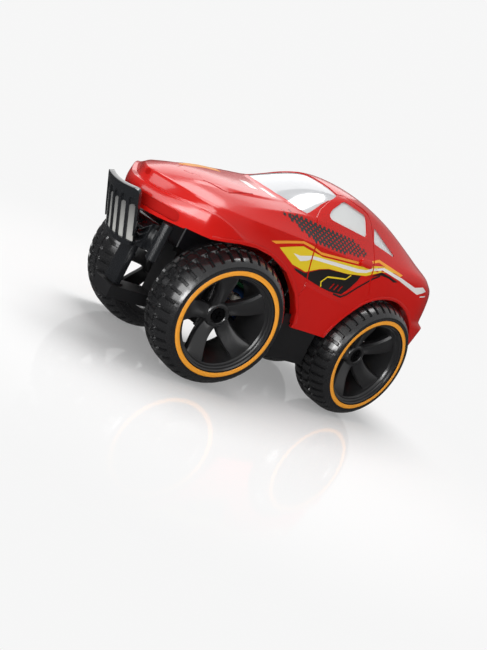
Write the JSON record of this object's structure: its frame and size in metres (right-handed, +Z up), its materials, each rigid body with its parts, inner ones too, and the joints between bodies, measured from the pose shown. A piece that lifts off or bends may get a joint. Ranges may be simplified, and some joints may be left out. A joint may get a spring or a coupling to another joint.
{
  "type": "remote control car",
  "caption": "Toy radio controlled fastback car with a glossy red shell, oversized treaded wheels, steering front axle, geared rear drive and a black push bar.",
  "frame": {"origin": "on the ground at the middle of the footprint box", "axes": "+X forward to the nose, +Y to the left side of the car, +Z up from the ground"},
  "size_m": [0.156, 0.0644, 0.0766],
  "materials": {
    "red_body": "glossy candy red moulded plastic with printed side graphics",
    "clear_window": "clear moulded plastic",
    "black_chassis": "satin black plastic",
    "push_bar": "glossy black plastic, slots shaded grey",
    "nylon": "white nylon",
    "servo_case": "dark plastic",
    "motor_can": "steel can",
    "steel": "zinc plated steel",
    "brass": "sintered bronze and brass",
    "battery_wrap": "blue shrink wrap",
    "circuit_green": "green laminate",
    "components": "black component bodies",
    "antenna_sleeve": "rubber sleeve",
    "switch_knob": "grey plastic",
    "tyre_rubber": "semi-gloss black rubber",
    "rim_black": "glossy black plastic",
    "stripe_orange": "orange printed band"
  },
  "bodies": {
    "chassis": {"body_shell": "red_body", "window_insert": "clear_window", "chassis_tray": "black_chassis", "front_beam": "black_chassis", "servo_bracket": "black_chassis", "front_bulkhead": "black_chassis", "gearbox_cover": "black_chassis", "battery_door": "black_chassis", "push_bar": "push_bar", "steering_servo": "servo_case", "switch_body": "servo_case", "charge_socket": "servo_case", "drive_motor": "motor_can", "compound_shaft": "steel", "battery_door_screw": "steel", "kingpin_left": "steel", "kingpin_right": "steel", "body_screw_rear_left": "steel", "body_screw_rear_right": "steel", "body_screw_front": "steel", "axle_bush_left": "brass", "axle_bush_right": "brass", "battery_pack": "battery_wrap", "circuit_board": "circuit_green", "board_components": "components", "antenna": "antenna_sleeve"},
    "rear_axle": {"rear_axle": "steel", "axle_gear": "nylon", "wheel_screw_rear_left": "steel", "wheel_screw_rear_right": "steel", "rim_rear_left": "rim_black", "tyre_rear_left": "tyre_rubber", "stripe_rear_left": "stripe_orange", "rim_rear_right": "rim_black", "tyre_rear_right": "tyre_rubber", "stripe_rear_right": "stripe_orange"},
    "compound_gear": {"compound_gear": "nylon"},
    "motor_pinion": {"motor_pinion": "brass", "motor_shaft": "steel"},
    "tie_rod": {"tie_rod": "nylon"},
    "servo_horn": {"servo_horn": "nylon"},
    "switch_slider": {"switch_slider": "switch_knob"},
    "knuckle_left": {"knuckle_left": "black_chassis", "stub_axle_left": "steel"},
    "wheel_front_left": {"rim_front_left": "rim_black", "tyre_front_left": "tyre_rubber", "stripe_front_left": "stripe_orange"},
    "knuckle_right": {"knuckle_right": "black_chassis", "stub_axle_right": "steel"},
    "wheel_front_right": {"rim_front_right": "rim_black", "tyre_front_right": "tyre_rubber", "stripe_front_right": "stripe_orange"}
  },
  "joints": [
    {"name": "steer_left", "type": "hinge", "parent": "chassis", "child": "knuckle_left", "pos_m": [0.0322, 0.0135, 0.0234], "axis": [0, 0, 1], "range_deg": [-4.3, 23.7]},
    {"name": "steer_right", "type": "hinge", "parent": "chassis", "child": "knuckle_right", "pos_m": [0.0322, -0.0135, 0.0234], "axis": [0, 0, 1], "range_deg": [-4.3, 23.7]},
    {"name": "tie_rod_pivot", "type": "hinge", "parent": "knuckle_left", "child": "tie_rod", "pos_m": [0.02333, 0.01502, 0.029], "axis": [0, 0, 1], "range_deg": [-23.7, 4.3]},
    {"name": "servo_turn", "type": "hinge", "parent": "chassis", "child": "servo_horn", "pos_m": [0.0322, 0, 0.033], "axis": [0, 0, 1], "range_deg": [-4.3, 23.7]},
    {"name": "front_wheel_spin_left", "type": "hinge", "parent": "knuckle_left", "child": "wheel_front_left", "pos_m": [0.03326, 0.01971, 0.0234], "axis": [0.1685, 0.9857, 0], "continuous": true},
    {"name": "front_wheel_spin_right", "type": "hinge", "parent": "knuckle_right", "child": "wheel_front_right", "pos_m": [0.03114, -0.01971, 0.0234], "axis": [0.1685, 0.9857, 0], "continuous": true},
    {"name": "rear_axle_spin", "type": "hinge", "parent": "chassis", "child": "rear_axle", "pos_m": [-0.044, 0, 0.0234], "axis": [0, 1, 0], "continuous": true},
    {"name": "compound_gear_spin", "type": "hinge", "parent": "chassis", "child": "compound_gear", "pos_m": [-0.03614, 0, 0.02891], "axis": [0, 1, 0], "continuous": true},
    {"name": "motor_pinion_spin", "type": "hinge", "parent": "chassis", "child": "motor_pinion", "pos_m": [-0.02654, 0, 0.02891], "axis": [0, 1, 0], "continuous": true},
    {"name": "power_switch", "type": "slide", "parent": "chassis", "child": "switch_slider", "axis": [0, 1, 0], "range_m": [0, 0.003]}
  ],
  "couplings": [
    {"joint": "steer_right", "follows": "steer_left", "ratio": 1},
    {"joint": "tie_rod_pivot", "follows": "steer_left", "ratio": -1},
    {"joint": "servo_turn", "follows": "steer_left", "ratio": 1},
    {"joint": "compound_gear_spin", "follows": "rear_axle_spin", "ratio": -3},
    {"joint": "motor_pinion_spin", "follows": "rear_axle_spin", "ratio": 9}
  ]
}
